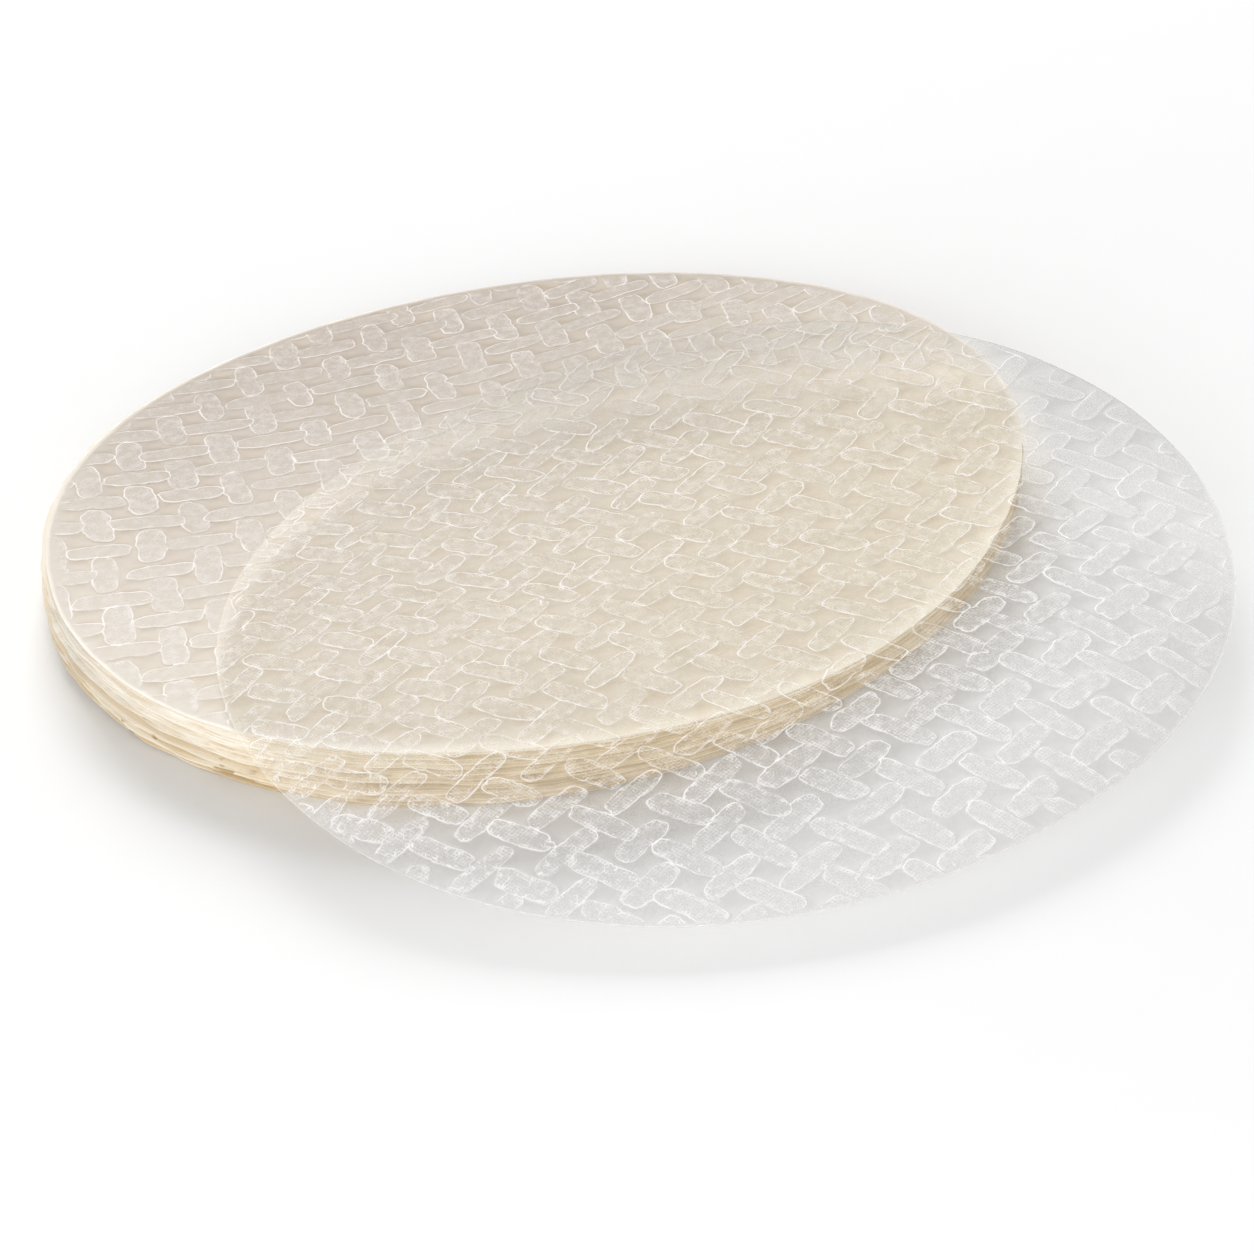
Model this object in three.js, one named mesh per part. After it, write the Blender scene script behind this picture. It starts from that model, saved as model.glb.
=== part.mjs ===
// A pile of dried rice paper wrappers with one loose wrapper lying across its front edge.
// Millimetres, +Z up. The origin is the middle of the lowest wrapper's flat underside.
// +X is to the right and the loose wrapper hangs over the front, towards -Y.

import * as THREE from 'three';

// ---- Driving dimensions ----

const SHEET_RADIUS = 110;
const SHEET_THICKNESS = 0.2;
const PILE_SHEETS = 20;

// The pile's upper face at its middle, and the middle of its top sheet seen from above.
const PILE_HEIGHT = 14.9;
const TOP_SHEET_CENTRE = { x: 2.3, y: -5.5 };

// The lowest sheet lies flat inside this radius. Outside it, two opposite edges curl up.
const FOOT_RADIUS = 56;
const BASE_CURL = 4.2;
const BASE_CURL_TOWARDS = -26;

// The loose sheet's middle, the height of its rim, how far its middle domes up, and the line
// along which the dome is fullest.
const LOOSE_CENTRE = { x: 40.5, y: -66.5 };
const LOOSE_RIM_HEIGHT = 15.7;
const LOOSE_DOME = 5.8;
const LOOSE_DOME_LINE_Y = -45;
const LOOSE_DOME_WIDTH = 75;

// Warps of a dried sheet. Each has a number of lobes round the rim, the height of one lobe
// there, and the bearing of one lobe in degrees. It fades towards the middle of the sheet.
const PILE_WARP = [
  { lobes: 1, height: 2.9, towards: -104 },
  { lobes: 2, height: 1.95, towards: 5 },
  { lobes: 3, height: 1.0, towards: 25 },
  { lobes: 4, height: 0.6, towards: -5.5 },
];
const LOOSE_WARP = [
  { lobes: 1, height: 7.95, towards: 97 },
  { lobes: 2, height: 1.67, towards: 29 },
  { lobes: 3, height: 1.57, towards: -55 },
];

// How far single sheets stray from the pile: sideways, in radius and out of round, and how
// much the gaps between them differ.
const STRAY_SIDEWAYS = 0.7;
const STRAY_RADIUS = 0.6;
const OUT_OF_ROUND = 0.8;
const GAP_VARIATION = 0.22;

// Facets of one sheet: spokes round it, and rings as shares of its radius.
const SPOKES = 48;
const PILE_RINGS = [0.5, 1];
const LOOSE_RINGS = [0.35, 0.65, 0.85, 1];

// ---- Materials ----

const pileRicePaper = new THREE.MeshStandardMaterial({
  color: 0xeee0c4,
  roughness: 0.55,
  metalness: 0,
});

const looseRicePaper = new THREE.MeshStandardMaterial({
  color: 0xf1eee8,
  roughness: 0.4,
  metalness: 0,
  transparent: true,
  opacity: 0.45,
});

// ---- Shape of the pile ----

const radians = THREE.MathUtils.degToRad;

// Height of a warped face at a point measured from the middle of its sheet.
function warpHeight(x, y, warps) {
  const reach = Math.hypot(x, y) / SHEET_RADIUS;
  const bearing = Math.atan2(y, x);
  return warps.reduce(
    (sum, warp) =>
      sum + warp.height * reach ** warp.lobes * Math.cos(warp.lobes * (bearing - radians(warp.towards))),
    0,
  );
}

// The upper face of the top sheet.
function pileTop(x, y) {
  return PILE_HEIGHT + warpHeight(x - TOP_SHEET_CENTRE.x, y - TOP_SHEET_CENTRE.y, PILE_WARP);
}

// The underside of the lowest sheet.
function pileBase(x, y) {
  const beyondFoot = (Math.hypot(x, y) - FOOT_RADIUS) / (SHEET_RADIUS - FOOT_RADIUS);
  const bearing = Math.atan2(y, x);
  return BASE_CURL * Math.max(0, beyondFoot) * Math.cos(bearing - radians(BASE_CURL_TOWARDS)) ** 2;
}

// The underside of a sheet that lies at a share of the pile's height.
function pileLayer(x, y, share) {
  return THREE.MathUtils.lerp(pileBase(x, y), pileTop(x, y) - SHEET_THICKNESS, share);
}

// The underside of the loose sheet, which domes over the pile's front edge and droops past it.
function looseUnderside(x, y) {
  const fromCentreX = x - LOOSE_CENTRE.x;
  const fromCentreY = y - LOOSE_CENTRE.y;
  const reach = Math.min(1, Math.hypot(fromCentreX, fromCentreY) / SHEET_RADIUS);
  const offLine = (fromCentreY - LOOSE_DOME_LINE_Y) / LOOSE_DOME_WIDTH;
  const dome = LOOSE_DOME * (1 - reach ** 4) * Math.exp(-(offLine ** 2));
  return LOOSE_RIM_HEIGHT + warpHeight(fromCentreX, fromCentreY, LOOSE_WARP) + dome;
}

// An uneven but repeatable value between -1 and 1 for each sheet.
function stray(index, trait) {
  return Math.sin(2.3 * index + 1.7 * trait) * 0.65 + Math.sin(5.1 * index + 2.9 * trait) * 0.35;
}

// ---- One sheet ----

// A thin closed disc around centre. Its underside follows the given height, and its rim is out
// of round by two lobes.
function sheetGeometry({ centre, radius, lobeTowards, rings, underside }) {
  const positions = [];
  const triangles = [];

  function addFace(lift) {
    const first = positions.length / 3;
    positions.push(0, 0, underside(centre.x, centre.y) + lift);
    for (const ring of rings) {
      for (let spoke = 0; spoke < SPOKES; spoke += 1) {
        const bearing = (2 * Math.PI * spoke) / SPOKES;
        const lobe = OUT_OF_ROUND * Math.cos(2 * (bearing - lobeTowards));
        const reach = ring * (radius + lobe);
        const x = reach * Math.cos(bearing);
        const y = reach * Math.sin(bearing);
        positions.push(x, y, underside(centre.x + x, centre.y + y) + lift);
      }
    }
    return first;
  }

  const lower = addFace(0);
  const upper = addFace(SHEET_THICKNESS);
  const ringStart = (face, ring) => face + 1 + ring * SPOKES;

  for (let spoke = 0; spoke < SPOKES; spoke += 1) {
    const next = (spoke + 1) % SPOKES;

    // The fans round the middle.
    triangles.push(upper, ringStart(upper, 0) + spoke, ringStart(upper, 0) + next);
    triangles.push(lower, ringStart(lower, 0) + next, ringStart(lower, 0) + spoke);

    // The bands between the rings.
    for (let ring = 1; ring < rings.length; ring += 1) {
      for (const [face, from, to] of [[upper, spoke, next], [lower, next, spoke]]) {
        const inner = ringStart(face, ring - 1);
        const outer = ringStart(face, ring);
        triangles.push(inner + from, outer + from, outer + to);
        triangles.push(inner + from, outer + to, inner + to);
      }
    }

    // The cut edge.
    const lowerRim = ringStart(lower, rings.length - 1);
    const upperRim = ringStart(upper, rings.length - 1);
    triangles.push(lowerRim + spoke, lowerRim + next, upperRim + next);
    triangles.push(lowerRim + spoke, upperRim + next, upperRim + spoke);
  }

  const geometry = new THREE.BufferGeometry();
  geometry.setAttribute('position', new THREE.Float32BufferAttribute(positions, 3));
  geometry.setIndex(triangles);
  geometry.computeVertexNormals();
  return geometry;
}

function sheetMesh(name, material, sheet) {
  const mesh = new THREE.Mesh(sheetGeometry(sheet), material);
  mesh.name = name;
  mesh.position.set(sheet.centre.x, sheet.centre.y, 0);
  return mesh;
}

// ---- The pile and the loose sheet ----

// Each sheet's share of the pile's height, from 0 at the lowest to 1 at the top one.
function pileShares() {
  const steps = Array.from({ length: PILE_SHEETS - 1 }, (_, index) => 1 + GAP_VARIATION * stray(index, 1));
  const total = steps.reduce((sum, step) => sum + step, 0);
  let height = 0;
  return [0, ...steps.map((step) => (height += step) / total)];
}

function pileSheet(index, share) {
  const isOuter = share === 0 || share === 1;
  const sideways = isOuter ? 0 : STRAY_SIDEWAYS;
  return sheetMesh(`wrapper_${String(index + 1).padStart(2, '0')}`, pileRicePaper, {
    centre: {
      x: TOP_SHEET_CENTRE.x * share + sideways * stray(index, 2),
      y: TOP_SHEET_CENTRE.y * share + sideways * stray(index, 3),
    },
    radius: SHEET_RADIUS + STRAY_RADIUS * stray(index, 4),
    lobeTowards: Math.PI * stray(index, 5),
    rings: PILE_RINGS,
    underside: (x, y) => pileLayer(x, y, share),
  });
}

function looseSheet() {
  return sheetMesh('loose_wrapper', looseRicePaper, {
    centre: LOOSE_CENTRE,
    radius: SHEET_RADIUS,
    lobeTowards: 0,
    rings: LOOSE_RINGS,
    underside: looseUnderside,
  });
}

const ricePaperPile = new THREE.Group();
pileShares().forEach((share, index) => ricePaperPile.add(pileSheet(index, share)));
ricePaperPile.add(looseSheet());

export default ricePaperPile;
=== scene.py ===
"""A pile of dried rice paper wrappers with one see-through wrapper lying loose across it."""

import math

import bpy
import numpy as np
from mathutils import Matrix
from mathutils.geometry import delaunay_2d_cdt


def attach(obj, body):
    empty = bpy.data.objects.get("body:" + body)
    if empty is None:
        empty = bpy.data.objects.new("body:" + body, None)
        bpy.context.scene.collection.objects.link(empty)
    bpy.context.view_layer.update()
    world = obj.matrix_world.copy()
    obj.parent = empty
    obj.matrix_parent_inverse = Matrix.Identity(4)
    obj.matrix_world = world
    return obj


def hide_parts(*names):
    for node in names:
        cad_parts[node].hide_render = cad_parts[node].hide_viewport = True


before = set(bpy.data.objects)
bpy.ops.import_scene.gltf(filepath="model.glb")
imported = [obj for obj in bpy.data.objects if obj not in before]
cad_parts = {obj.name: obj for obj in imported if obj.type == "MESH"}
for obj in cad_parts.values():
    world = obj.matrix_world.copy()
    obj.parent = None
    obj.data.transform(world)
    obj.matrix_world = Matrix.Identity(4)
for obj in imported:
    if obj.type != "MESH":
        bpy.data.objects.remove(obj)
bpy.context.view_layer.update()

MM = 0.001

# ---- The sheets, in millimetres ----

SHEET_RADIUS = 110.0
SHEET_THICKNESS = 0.2
PILE_SHEETS = 20

PILE_HEIGHT = 14.9
TOP_CENTRE = (2.3, -5.5)
FOOT_RADIUS = 56.0
BASE_CURL = 4.2
BASE_CURL_TOWARDS = -26.0

LOOSE_CENTRE = (40.5, -66.5)
LOOSE_RIM_HEIGHT = 15.7
LOOSE_DOME = 5.8
LOOSE_DOME_LINE_Y = -45.0
LOOSE_DOME_WIDTH = 75.0

# Warps of a dried sheet: lobes round the rim, height of a lobe, bearing of a lobe in degrees.
PILE_WARP = ((1, 2.9, -104.0), (2, 1.95, 5.0), (3, 1.0, 25.0), (4, 0.6, -5.5))
LOOSE_WARP = ((1, 7.95, 97.0), (2, 1.67, 29.0), (3, 1.57, -55.0))

STRAY_SIDEWAYS = 0.4
STRAY_RADIUS = 0.35
OUT_OF_ROUND = 0.5
GAP_VARIATION = 0.22

# A dried rim is a little thicker than the sheet where the pile leaves room for it, and its
# edge is rounded over.
RIM_THICKNESS = 0.42
RIM_FILLING = 0.58
RIM_ROUNDING = 0.16
RIM_NIBBLE = 0.3
TOP_RIM_NIBBLE = 0.1
LOOSE_RIM_NIBBLE = 0.12

# Over these shares of its radius a sheet in the pile thickens towards its rim, and its gaps
# become uneven.
THICKENING = (0.93, 0.985)
PARTING = (0.72, 0.97)

# How open the gaps are at the rim: the usual share, the slow and the fast unevenness in it, the
# even gaps near the top, and the least.
GAP_OPENNESS = 0.62
GAP_SLOW = 0.17
GAP_FAST = 0.13
GAP_EVEN = 0.3
GAP_LEAST = 0.06

# Seeds of the unevenness of the gaps, of the rims and of the ripples, and the ripples' length.
SLOW_GAP_SEED = 300
FAST_GAP_SEED = 400
RIM_SEED = 500
LOOSE_RIM_SEED = 77
RIPPLE_SEED = 7
RIPPLE_LENGTH = 22.0

# The meshes: points round a rim, the width of the facets along it, how far inside it the marks
# stop, and how far inside it and how far apart the points between them and below are.
RIM_POINTS = 420
RIM_BAND = 0.45
MARKS_STOP = 0.9
UPPER_STOP = 2.5
UNDER_STOP = 4.0
UPPER_SPACING = 3.6
UNDER_SPACING = 7.0

# Points of a net nearer to each other than this are one.
MERGE_DISTANCE = 1e-4

# Rings of a sheet inside the pile, as shares of its radius.
PLAIN_RINGS = (0.35, 0.7, 0.84, 0.93, 0.975)

# The mat's marks: a raised bead round a frosted middle.
BEAD_HALF_WIDTH = 0.42
BEAD_HEIGHT = 0.15
FROST_HEIGHT = 0.11

# The frosting thins out this far in from a mark's outline, and by these shares on the sheets of
# the pile and on the loose one.
CLEAR_MIDDLE = 1.3
PILE_CLEARNESS = 0.3
LOOSE_CLEARNESS = 0.55

# Painted shade: a darker line runs round each mark, this far outside the bead's middle.
SHADE_PLACE = 0.55
SHADE_WIDTH = 1.1

# Width of the smooth margin at the back and sides and at the front, and the front's bearing. The
# margin is the sheet's own smooth edge; its wide pale front part is also painted light.
SIDE_MARGIN = 3.0
FRONT_MARGIN = 14.0
MARGIN_TOWARDS = -62.0
MARGIN_FADE = (30.0, 75.0)

# Painted glow: the pile's warm light is painted on the sheet above it. The glow's circle lies this
# far in front of the pile, and fades between these distances past its rim.
GLOW_FORWARD = 15.0
GLOW_FADE = (-6.0, 9.0)

# Beyond the pile's front left the loose sheet's skin is crinkled, between these bearings from its
# middle and this far in from its rim.
CRINKLE_FROM = 192.0
CRINKLE_TO = 262.0
CRINKLE_REACH = 26.0
CRINKLE_SOFTNESS = 12.0


def smoothstep(low, high, value):
    share = np.clip((value - low) / (high - low), 0.0, 1.0)
    return share * share * (3.0 - 2.0 * share)


def warp_height(x, y, warps):
    """Height of a warped face at a point measured from the middle of its sheet."""
    reach = np.hypot(x, y) / SHEET_RADIUS
    bearing = np.arctan2(y, x)
    return sum(
        height * reach**lobes * np.cos(lobes * (bearing - math.radians(towards)))
        for lobes, height, towards in warps
    )


def pile_top(x, y):
    return PILE_HEIGHT + warp_height(x - TOP_CENTRE[0], y - TOP_CENTRE[1], PILE_WARP)


def pile_base(x, y):
    beyond_foot = np.maximum(0.0, (np.hypot(x, y) - FOOT_RADIUS) / (SHEET_RADIUS - FOOT_RADIUS))
    bearing = np.arctan2(y, x) - math.radians(BASE_CURL_TOWARDS)
    return BASE_CURL * beyond_foot * np.cos(bearing) ** 2


def loose_underside(x, y):
    from_x = x - LOOSE_CENTRE[0]
    from_y = y - LOOSE_CENTRE[1]
    reach = np.minimum(1.0, np.hypot(from_x, from_y) / SHEET_RADIUS)
    off_line = (from_y - LOOSE_DOME_LINE_Y) / LOOSE_DOME_WIDTH
    dome = LOOSE_DOME * (1.0 - reach**4) * np.exp(-(off_line**2))
    return LOOSE_RIM_HEIGHT + warp_height(from_x, from_y, LOOSE_WARP) + dome


def even_thickness(x, y):
    return np.full_like(x, SHEET_THICKNESS)


def stray(index, trait):
    """An uneven but repeatable value between -1 and 1 for each sheet."""
    return math.sin(2.3 * index + 1.7 * trait) * 0.65 + math.sin(5.1 * index + 2.9 * trait) * 0.35


# ---- Unevenness ----


def round_noise(bearing, seed, lobes):
    """Smooth unevenness round a rim, about -1 to 1."""
    draw = np.random.default_rng(seed)
    total = np.zeros_like(bearing)
    weight = 0.0
    for count in lobes:
        size = draw.uniform(0.6, 1.0)
        total += size * np.cos(count * bearing + draw.uniform(0, 2 * math.pi))
        weight += size * size / 2
    return total / math.sqrt(weight) / 1.6


def ripple(x, y, seed, wavelength):
    """Smooth unevenness over a sheet, about -1 to 1."""
    draw = np.random.default_rng(seed)
    total = np.zeros_like(x)
    for _ in range(7):
        heading = draw.uniform(0, 2 * math.pi)
        number = 2 * math.pi / (wavelength * draw.uniform(0.7, 1.6))
        along = x * math.cos(heading) + y * math.sin(heading)
        total += np.cos(number * along + draw.uniform(0, 2 * math.pi))
    return total / 3.0


# ---- How the pile's sheets lie on each other ----


def nominal_steps():
    return np.array([1 + GAP_VARIATION * stray(index, 1) for index in range(PILE_SHEETS - 1)])


def rim_gaps(bearing):
    """How open each gap is at the rim. Sheets run together in places and part in others."""
    gaps = []
    for index in range(PILE_SHEETS - 1):
        level = index / (PILE_SHEETS - 2)
        slow = round_noise(bearing, SLOW_GAP_SEED + index, (2, 3, 5, 7))
        fast = round_noise(bearing, FAST_GAP_SEED + index, (10, 15, 22, 29))
        open_share = np.clip(GAP_OPENNESS + GAP_SLOW * slow + GAP_FAST * fast, 0.0, 1.4)
        fullness = 1.15 - 0.6 * smoothstep(0.6, 0.9, level)
        unevenness = 1 - smoothstep(0.8, 0.95, level)
        uneven_gap = GAP_LEAST + open_share**2
        gaps.append(fullness * (GAP_EVEN + (uneven_gap - GAP_EVEN) * unevenness))
    return np.stack(gaps)


def painted_pile_glow(x, y):
    """How much painted warm glow of the pile a sheet above it gets: 1 over it, fading to 0 past its
    rim.
    """
    beyond_rim = np.hypot(x - TOP_CENTRE[0], y - TOP_CENTRE[1] + GLOW_FORWARD) - SHEET_RADIUS
    return 1 - smoothstep(*GLOW_FADE, beyond_rim)


def under_loose_sheet(x, y):
    """1 beneath the loose sheet, fading to 0 at its rim."""
    beyond_rim = np.hypot(x - LOOSE_CENTRE[0], y - LOOSE_CENTRE[1]) - SHEET_RADIUS
    return 1 - smoothstep(-5.0, 0.0, beyond_rim)


def front_margin(x, y):
    """Width of a sheet's smooth pale margin: wider along the front."""
    off_front = np.abs((np.degrees(np.arctan2(y, x)) - MARGIN_TOWARDS + 180) % 360 - 180)
    return SIDE_MARGIN + (FRONT_MARGIN - SIDE_MARGIN) * (1 - smoothstep(*MARGIN_FADE, off_front))


def crinkled(x, y, from_rim):
    """1 where the skin is crinkled, fading to 0 round it."""
    bearing = np.degrees(np.arctan2(y, x)) % 360
    soft = CRINKLE_SOFTNESS
    sector = smoothstep(CRINKLE_FROM - soft, CRINKLE_FROM + soft, bearing)
    sector = sector * (1 - smoothstep(CRINKLE_TO - soft, CRINKLE_TO + soft, bearing))
    return sector * (1 - smoothstep(0.5 * CRINKLE_REACH, CRINKLE_REACH, from_rim))


def pile_reach(x, y):
    return np.hypot(x - TOP_CENTRE[0] * 0.5, y - TOP_CENTRE[1] * 0.5) / SHEET_RADIUS


def pile_thickness(x, y):
    """Thickness of the pile's sheets: even inside, and up to RIM_THICKNESS at the rim."""
    room = (pile_top(x, y) - pile_base(x, y)) / PILE_SHEETS
    at_rim = np.clip(RIM_FILLING * room, SHEET_THICKNESS, RIM_THICKNESS)
    return SHEET_THICKNESS + (at_rim - SHEET_THICKNESS) * smoothstep(*THICKENING, pile_reach(x, y))


def pile_underside(index):
    """Underside of a sheet in the pile. The pile's top face and underside stay where they are,
    and neighbours never meet."""
    steps = nominal_steps()
    inner = steps[:index].sum() / steps.sum()

    def underside(x, y):
        bearing = np.arctan2(y - TOP_CENTRE[1] * 0.5, x - TOP_CENTRE[0] * 0.5)
        gaps = rim_gaps(bearing)
        thickness = pile_thickness(x, y)
        low = pile_base(x, y)
        room = pile_top(x, y) - low - thickness
        free = room - (PILE_SHEETS - 1) * thickness
        outer = index * thickness + free * gaps[:index].sum(axis=0) / gaps.sum(axis=0)
        blend = smoothstep(*PARTING, pile_reach(x, y))
        return low + room * inner + (outer - room * inner) * blend

    return underside


def pile_sheet_outline(index):
    """Centre, and rim radius at each bearing, of a sheet in the pile."""
    steps = nominal_steps()
    share = steps[:index].sum() / steps.sum()
    sideways = 0.0 if index in (0, PILE_SHEETS - 1) else STRAY_SIDEWAYS
    centre = (
        TOP_CENTRE[0] * share + sideways * stray(index, 2),
        TOP_CENTRE[1] * share + sideways * stray(index, 3),
    )
    lobe_towards = math.pi * stray(index, 5)
    ragged = TOP_RIM_NIBBLE if index == PILE_SHEETS - 1 else RIM_NIBBLE

    def rim(bearing):
        lobe = OUT_OF_ROUND * np.cos(2 * (bearing - lobe_towards))
        nibble = ragged * round_noise(bearing, RIM_SEED + index, (9, 14, 22, 37, 51))
        return SHEET_RADIUS + STRAY_RADIUS * stray(index, 4) + lobe + nibble

    return centre, rim


# ---- The mat and its marks ----

# Kinds of mark, in the order that they are laid down: of strips across the mat and along it,
# and curls of lifted skin.
ACROSS, ALONG, CURL = range(3)

# Ranges of a strip's print: its length and width as shares of the way to the next strip, and how
# square its ends are. Prints are made this far past the rim, and stray this far in place and
# heading.
MARK_LENGTH = {ACROSS: (0.62, 0.72), ALONG: (0.66, 0.76)}
ALONG_WIDTH = (0.215, 0.26)
MARK_SQUARENESS = {ACROSS: (3.0, 5.0), ALONG: (3.3, 4.6)}
MARK_OVERHANG = 9.0
MARK_STRAY = 0.38
MARK_TURN = 0.035
MAT_STRIPS = 22

# How many of the marks have a curl, how far its bead fades on its open side, and its frosting,
# the squareness of its ends and the unevenness of its outline.
CURL_SHARE = 0.13
CURL_OPENING = 0.5
CURL_FROST = (0.3, 0.6)
CURL_SQUARENESS = 2.2
CURL_WOBBLE = 2.5

# Unevenness of a mark's outline: waves round it, and their size as a share of its radius.
OUTLINE_WAVES = (
    (1, 0.03), (2, 0.05), (3, 0.055), (4, 0.045), (6, 0.032), (9, 0.024), (13, 0.018),
    (18, 0.012), (25, 0.009),
)


class Mat:
    """A woven drying mat. Strips lie along one way and across it, and pass over each other in
    turn. Steps and bends are in millimetres, measured from the middle of the sheet."""

    def __init__(self, seed, start, along, across, along_bend, twist, across_bend, across_width,
                 frost):
        self.seed = seed
        self.start = np.array(start)
        self.along = np.array(along)
        self.across = np.array(across)
        self.along_bend = np.array(along_bend)
        self.twist = np.array(twist)
        self.across_bend = np.array(across_bend)
        self.width = {ACROSS: across_width, ALONG: ALONG_WIDTH}
        self.frost = frost

    def point(self, a, b):
        bend = self.along_bend * a * a + self.twist * a * b + self.across_bend * b * b
        return self.start + self.along * a + self.across * b + bend

    def step(self, a, b, kind):
        """The way from one strip to the next at a crossing."""
        half = 0.5
        if kind == ALONG:
            return self.point(a + half, b) - self.point(a - half, b)
        return self.point(a, b + half) - self.point(a, b - half)


class Mark:
    """One strip's print: a long rounded outline."""

    ANGLES = np.linspace(-math.pi, math.pi, 241)

    def __init__(self, kind, centre, heading, half_length, half_width, squareness, wobble,
                 frost_range, draw):
        self.kind = kind
        self.centre = centre
        self.heading = heading
        self.reach = half_length * 1.3
        angle = self.ANGLES
        boxy = np.abs(np.cos(angle) / half_length) ** squareness
        boxy += np.abs(np.sin(angle) / half_width) ** squareness
        radius = boxy ** (-1.0 / squareness)
        for count, size in OUTLINE_WAVES:
            wave = np.cos(count * angle + draw.uniform(0, 2 * math.pi))
            radius *= 1 + wobble * draw.uniform(0.4, 1.3) * size * wave
        self.radius = radius
        slope = np.gradient(radius, angle) / radius
        self.lean = 1.0 / np.sqrt(1.0 + slope**2)
        self.strength = draw.uniform(0.8, 1.0)
        self.fade = draw.uniform(0.0, 0.2)
        self.frost = draw.uniform(*frost_range)
        self.fade_towards = draw.uniform(0, 2 * math.pi)

    def outline(self, count, offset):
        """Evenly spaced points along the outline, moved outwards by offset."""
        x = self.radius * np.cos(self.ANGLES)
        y = self.radius * np.sin(self.ANGLES)
        along_x = np.gradient(x)
        along_y = np.gradient(y)
        size = np.hypot(along_x, along_y)
        out_x = x + offset * along_y / size
        out_y = y - offset * along_x / size
        run = np.concatenate([[0.0], np.cumsum(np.hypot(np.diff(x), np.diff(y)))])
        places = np.arange(count) / count * run[-1]
        px = np.interp(places, run, out_x)
        py = np.interp(places, run, out_y)
        cos, sin = math.cos(self.heading), math.sin(self.heading)
        return np.stack(
            [self.centre[0] + px * cos - py * sin, self.centre[1] + px * sin + py * cos], axis=1
        )

    def distance(self, x, y):
        """Distance outside the outline, and the strength of the bead there."""
        from_x = x - self.centre[0]
        from_y = y - self.centre[1]
        cos, sin = math.cos(self.heading), math.sin(self.heading)
        px = from_x * cos + from_y * sin
        py = from_y * cos - from_x * sin
        angle = np.arctan2(py, px)
        radius = np.interp(angle, self.ANGLES, self.radius)
        lean = np.interp(angle, self.ANGLES, self.lean)
        bead = self.strength * (1 - self.fade * (1 + np.cos(angle - self.fade_towards)))
        return (np.hypot(px, py) - radius) * lean, bead


def marks_of(mat):
    draw = np.random.default_rng(mat.seed)
    marks = []
    for a in range(-MAT_STRIPS, MAT_STRIPS + 1):
        for b in range(-MAT_STRIPS, MAT_STRIPS + 1):
            centre = mat.point(a, b)
            if np.hypot(*centre) > SHEET_RADIUS + MARK_OVERHANG:
                continue
            kind, other_kind = (ALONG, ACROSS) if (a + b) % 2 == 0 else (ACROSS, ALONG)
            step = mat.step(a, b, kind)
            other = mat.step(a, b, other_kind)
            heading = math.atan2(step[1], step[0]) + draw.normal(0, MARK_TURN)
            centre = centre + draw.normal(0, MARK_STRAY, 2)
            length = np.hypot(*step) * draw.uniform(*MARK_LENGTH[kind])
            width = np.hypot(*other) * draw.uniform(*mat.width[kind])
            squareness = draw.uniform(*MARK_SQUARENESS[kind])
            marks.append(
                Mark(kind, centre, heading, length, width, squareness, 1.0, mat.frost[kind], draw)
            )
    for mark in list(marks):
        if draw.uniform() < CURL_SHARE:
            marks.append(curl_at(mark, draw))
    return marks


def curl_at(mark, draw):
    """A small loop where a mark's skin lifted at one of its ends."""
    length = mark.radius.max() * draw.uniform(0.7, 1.0) * draw.choice([-1.0, 1.0])
    across = draw.normal(0, 0.9)
    cos, sin = math.cos(mark.heading), math.sin(mark.heading)
    centre = mark.centre + np.array([length * cos - across * sin, length * sin + across * cos])
    size = draw.uniform(0.9, 1.9)
    heading = mark.heading + draw.uniform(-1.2, 1.2)
    width = size * draw.uniform(0.35, 0.6)
    curl = Mark(
        CURL, centre, heading, size, width, CURL_SQUARENESS, CURL_WOBBLE, CURL_FROST, draw,
    )
    curl.fade = CURL_OPENING
    return curl


# ---- Meshes ----


def mesh_object(name, points, triangles, material, values=None, sharp=0.9):
    """A mesh piece. Its edges look sharp where it turns by more than the angle sharp."""
    mesh = bpy.data.meshes.new(name)
    mesh.vertices.add(len(points))
    mesh.vertices.foreach_set("co", (points * MM).astype(np.float32).ravel())
    mesh.loops.add(triangles.size)
    mesh.loops.foreach_set("vertex_index", triangles.astype(np.int32).ravel())
    mesh.polygons.add(len(triangles))
    mesh.polygons.foreach_set("loop_start", np.arange(0, triangles.size, 3, dtype=np.int32))
    mesh.update(calc_edges=True)
    mesh.validate()
    mesh.polygons.foreach_set("use_smooth", np.ones(len(mesh.polygons), bool))
    mesh.set_sharp_from_angle(angle=sharp)
    for key, value in (values or {}).items():
        attribute = mesh.attributes.new(key, "FLOAT", "POINT")
        attribute.data.foreach_set("value", value.astype(np.float32))
    mesh.materials.append(material)
    thing = bpy.data.objects.new(name, mesh)
    bpy.context.scene.collection.objects.link(thing)
    return thing


def triangulate(points, edges):
    """A flat net over the points that keeps the edges. The first RIM_POINTS go round the rim,
    and nothing is left outside it. Gives the net's points, its triangles and, for each given
    point, its place in the net."""
    flat, _, faces, origins, _, _ = delaunay_2d_cdt(points.tolist(), edges, [], 0, MERGE_DISTANCE)
    place = np.full(len(points), -1)
    for index, sources in enumerate(origins):
        for source in sources:
            place[source] = index
    flat = np.array([tuple(p) for p in flat])
    triangles = np.array([face for face in faces if len(face) == 3])
    one, two, three = (flat[triangles[:, k]] for k in range(3))
    turn = (two - one)[:, 0] * (three - one)[:, 1] - (two - one)[:, 1] * (three - one)[:, 0]
    if turn.sum() < 0:
        triangles = triangles[:, ::-1]
    on_rim = np.zeros(len(flat), bool)
    on_rim[place[:RIM_POINTS]] = True
    return flat, triangles[~on_rim[triangles].all(axis=1)], place


def loop_edges(first, count):
    return [(first + k, first + (k + 1) % count) for k in range(count)]


# Rise from row to row of a triangular grid, and the size of the cells that a taken point
# blocks, both as shares of the spacing.
ROW_RISE = 0.866
CELL_SHARE = 0.34


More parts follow.
